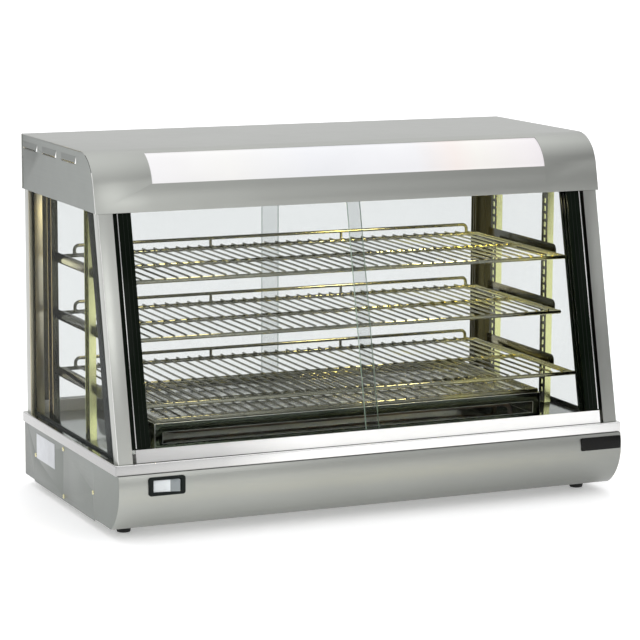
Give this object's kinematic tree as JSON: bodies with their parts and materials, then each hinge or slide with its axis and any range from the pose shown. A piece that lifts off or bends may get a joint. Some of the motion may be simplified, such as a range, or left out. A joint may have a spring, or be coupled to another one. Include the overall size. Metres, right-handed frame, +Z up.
{
  "type": "countertop heated food display case",
  "caption": "Countertop heated food display case with a curved lit canopy, sliding glass doors front and rear, wire shelves on slotted uprights and a heated base.",
  "frame": {"origin": "on the table, at the centre of the outline seen from above", "axes": "+X to the right seen from the front, +Y to the rear, +Z up"},
  "size_m": [0.915, 0.51, 0.61],
  "materials": {
    "stainless": "satin, fine horizontal grain",
    "stainless_trim": "bright satin",
    "stainless_polished": "polished",
    "chrome_wire": "bright plated",
    "rubber_black": "matte",
    "black_matte": "matte",
    "black_gloss": "gloss",
    "nameplate_blank": "blank, gloss",
    "label_blank": "blank, satin",
    "rocker_white": "translucent, lit from inside",
    "lamp_amber": "translucent",
    "ceramic_white": "glazed",
    "element_sheath": "dull, heat-darkened",
    "clear_glass": "clear, greenish at the edges",
    "opal_plastic": "opal, lit from behind",
    "lamp_glass": "frosted"
  },
  "bodies": {
    "cabinet": {"base_pan": "stainless", "fascia": "stainless", "side_panel_left": "stainless", "side_panel_right": "stainless", "rear_panel": "stainless", "deck_plate": "stainless", "feet": "rubber_black", "foot_screws": "stainless_polished", "case_screws": "stainless_polished", "rating_label": "label_blank", "nameplate": "nameplate_blank", "front_switch_housing": "black_matte", "rear_switch_housing": "black_matte", "thermostat_body": "black_matte", "pilot_lamp": "lamp_amber", "cable_gland": "black_matte", "terminal_block": "ceramic_white", "heater_cover": "stainless_polished", "heating_elements": "element_sheath", "bottom_grid": "chrome_wire", "front_post_left": "stainless_trim", "front_post_right": "stainless_trim", "rear_post_left": "stainless_trim", "rear_post_right": "stainless_trim", "front_channel_left": "black_gloss", "front_channel_right": "black_gloss", "front_track_lower": "stainless_trim", "front_track_upper": "stainless_trim", "rear_channel_left": "black_gloss", "rear_channel_right": "black_gloss", "rear_track_lower": "stainless_trim", "rear_track_upper": "stainless_trim", "side_glass_left": "clear_glass", "side_glass_right": "clear_glass", "side_seal_left": "black_matte", "side_seal_right": "black_matte", "uprights_left": "stainless_polished", "uprights_right": "stainless_polished", "shelf_brackets_top": "stainless_polished", "shelf_brackets_middle": "stainless_polished", "shelf_brackets_lower": "stainless_polished", "shelf_top": "chrome_wire", "shelf_middle": "chrome_wire", "shelf_lower": "chrome_wire", "canopy_shell": "stainless", "canopy_end_left": "stainless", "canopy_end_right": "stainless", "ceiling_liner": "stainless", "light_panel": "opal_plastic", "lamp_holders": "ceramic_white", "lamps": "lamp_glass"},
    "front_left_pane": {"front_door_left": "clear_glass"},
    "front_right_pane": {"front_door_right": "clear_glass"},
    "rear_left_pane": {"rear_door_left": "clear_glass"},
    "rear_right_pane": {"rear_door_right": "clear_glass"},
    "front_rocker": {"front_switch_rocker": "rocker_white"},
    "rear_rocker": {"rear_switch_rocker": "rocker_white"},
    "thermostat_dial": {"thermostat_shaft": "stainless_polished", "thermostat_knob": "black_matte"}
  },
  "joints": [
    {"name": "front_door_left_slide", "type": "slide", "parent": "cabinet", "child": "front_left_pane", "axis": [1, 0, 0], "range_m": [0, 0.388]},
    {"name": "front_door_right_slide", "type": "slide", "parent": "cabinet", "child": "front_right_pane", "axis": [1, 0, 0], "range_m": [-0.388, 0]},
    {"name": "rear_door_left_slide", "type": "slide", "parent": "cabinet", "child": "rear_left_pane", "axis": [1, 0, 0], "range_m": [0, 0.397]},
    {"name": "rear_door_right_slide", "type": "slide", "parent": "cabinet", "child": "rear_right_pane", "axis": [1, 0, 0], "range_m": [-0.397, 0]},
    {"name": "front_switch_rock", "type": "hinge", "parent": "cabinet", "child": "front_rocker", "pos_m": [-0.374, -0.24649, 0.09], "axis": [0, 0, 1], "range_deg": [0, 16]},
    {"name": "rear_switch_rock", "type": "hinge", "parent": "cabinet", "child": "rear_rocker", "pos_m": [0.215, 0.23149, 0.064], "axis": [0, 0, 1], "range_deg": [0, 16]},
    {"name": "thermostat_turn", "type": "hinge", "parent": "cabinet", "child": "thermostat_dial", "pos_m": [0.3, 0.236, 0.064], "axis": [0, 1, 0], "range_deg": [0, 270]}
  ]
}
